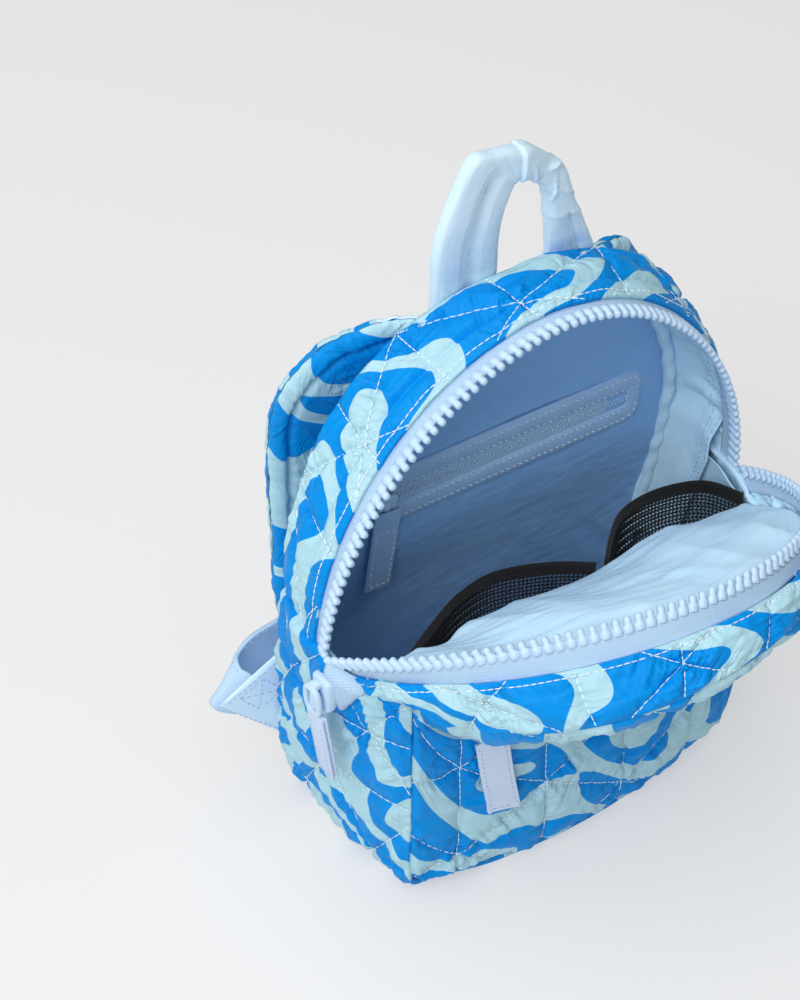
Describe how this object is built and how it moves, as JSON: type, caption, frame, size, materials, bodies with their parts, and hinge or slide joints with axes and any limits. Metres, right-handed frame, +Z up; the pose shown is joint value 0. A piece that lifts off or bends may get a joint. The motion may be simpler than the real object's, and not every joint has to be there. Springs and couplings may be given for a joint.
{
  "type": "mini backpack",
  "caption": "Quilted mini backpack standing open: arched zip undone, front half folded forward, padded straps, carry loop, mesh pockets and a zipped pocket inside.",
  "frame": {"origin": "middle of the flat base, on the floor", "axes": "+Z up, -Y out of the front, +X to the right of a viewer who faces the front"},
  "size_m": [0.2416, 0.1948, 0.2917],
  "materials": {
    "quilt": "quilted coated nylon, bright blue and pale aqua print, satin",
    "lining": "thin plain nylon lining, pale blue, satin",
    "plain_cloth": "plain nylon cloth, pale blue, satin",
    "leather": "pale blue imitation leather, matte",
    "zip": "woven zip tape with moulded teeth, pale blue",
    "plastic": "moulded plastic, pale blue",
    "mesh": "black knitted mesh and black elastic binding, matte"
  },
  "bodies": {
    "root": {"back_panel": "quilt", "rear_gusset": "quilt", "lower_gusset": "quilt", "front_panel": "quilt", "front_gusset": "quilt", "shoulder_strap_left": "quilt", "shoulder_strap_right": "quilt", "back_lining": "lining", "gusset_lining": "lining", "flap_lining": "lining", "seam_binding": "lining", "top_handle": "plain_cloth", "strap_web_left": "plain_cloth", "strap_web_right": "plain_cloth", "zip_pull_tab": "leather", "inner_pocket_frame": "leather", "inner_pocket_pull": "leather", "label_tab": "leather", "zip_rear": "zip", "zip_front": "zip", "inner_pocket_zip": "zip", "zip_slider": "plastic", "zip_pull_ring": "plastic", "inner_pocket_slider": "plastic", "mesh_pocket_left": "mesh", "mesh_pocket_right": "mesh", "mesh_binding_left": "mesh", "mesh_binding_right": "mesh"}
  },
  "joints": []
}
